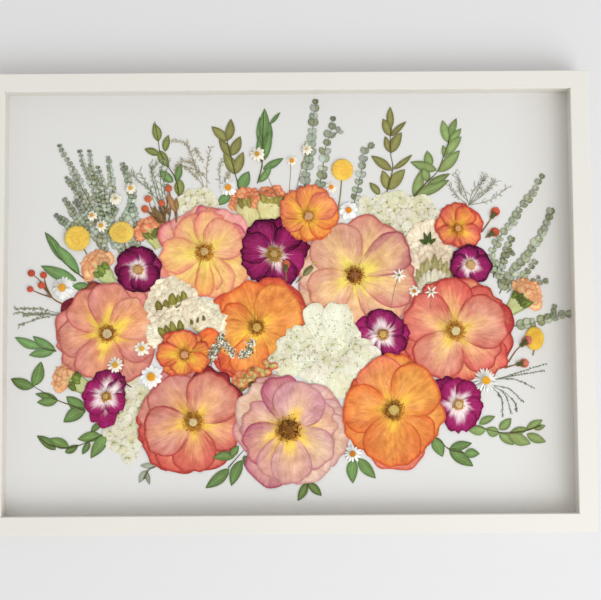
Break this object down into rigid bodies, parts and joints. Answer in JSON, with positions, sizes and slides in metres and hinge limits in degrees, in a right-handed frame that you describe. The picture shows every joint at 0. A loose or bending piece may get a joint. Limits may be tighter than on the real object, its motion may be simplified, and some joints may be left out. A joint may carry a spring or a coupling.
{
  "type": "pressed flower frame",
  "caption": "Pressed roses, carnations, hydrangea, craspedia, eucalyptus and leaf sprigs on a pale mat behind glass in a deep white wooden frame.",
  "frame": {"origin": "centre of the back, on the plane that the frame rests on when it lies on its back", "axes": "+X to the right along the long side, +Y towards the top edge, +Z out of the front"},
  "size_m": [0.635, 0.483, 0.035],
  "materials": {
    "painted_wood": "satin",
    "clear_glass": "polished",
    "mat_card": "matte",
    "backing_board": "matte",
    "hanger_steel": "satin",
    "peach_petal": "matte",
    "dusty_petal": "matte",
    "coral_petal": "matte",
    "orange_petal": "matte",
    "mauve_petal": "matte",
    "violet_petal": "matte",
    "yellow_floret": "matte",
    "cream_petal": "matte",
    "white_petal": "matte",
    "green_leaf": "matte",
    "grey_leaf": "matte"
  },
  "bodies": {
    "root": {"rail_bottom": "painted_wood", "rail_top": "painted_wood", "rail_left": "painted_wood", "rail_right": "painted_wood", "glass_pane": "clear_glass", "mat_board": "mat_card", "backing_board": "backing_board", "liner": "mat_card", "sawtooth_hanger": "hanger_steel", "rose_antique_pink": "dusty_petal", "rose_peach": "peach_petal", "rose_dusty_pink": "dusty_petal", "rose_orange_middle": "orange_petal", "rose_coral": "coral_petal", "rose_salmon": "coral_petal", "rose_mauve_cream": "mauve_petal", "rose_orange_right": "orange_petal", "spray_rose_top": "orange_petal", "spray_rose_right": "orange_petal", "spray_rose_left": "orange_petal", "violet_rose_upper_left": "violet_petal", "violet_rose_top": "violet_petal", "violet_rose_upper_right": "violet_petal", "violet_rose_middle": "violet_petal", "violet_rose_lower_left": "violet_petal", "violet_rose_lower_right": "violet_petal", "hydrangea_upper_left": "white_petal", "hydrangea_upper_right": "white_petal", "hydrangea_lower_left": "white_petal", "hydrangea_middle": "white_petal", "carnation_peach_right": "peach_petal", "carnation_peach_upper_left": "peach_petal", "carnation_peach_left": "peach_petal", "carnation_peach_lower_left": "peach_petal", "carnation_peach_top": "peach_petal", "carnation_cream_right": "cream_petal", "carnation_cream_upper": "cream_petal", "carnation_cream_lower": "cream_petal", "carnation_cream_fan": "cream_petal", "craspedia_left": "yellow_floret", "craspedia_upper_left": "yellow_floret", "craspedia_top": "yellow_floret", "craspedia_right": "yellow_floret", "daisy_left": "white_petal", "leaf_sprig_upper_left": "green_leaf", "leaf_sprig_top_left": "green_leaf", "leaf_sprig_top": "green_leaf", "leaf_sprig_top_right": "green_leaf", "leaf_sprig_forked": "green_leaf", "leaf_sprig_left": "green_leaf", "leaf_sprig_lower_left": "green_leaf", "leaf_sprig_bottom_left": "green_leaf", "leaf_sprig_bottom": "green_leaf", "leaf_sprig_bottom_right": "green_leaf", "leaf_sprig_right": "green_leaf", "eucalyptus_left": "grey_leaf", "eucalyptus_top": "grey_leaf", "eucalyptus_top_right": "grey_leaf", "eucalyptus_right": "grey_leaf", "eucalyptus_low_right": "grey_leaf"}
  },
  "joints": []
}
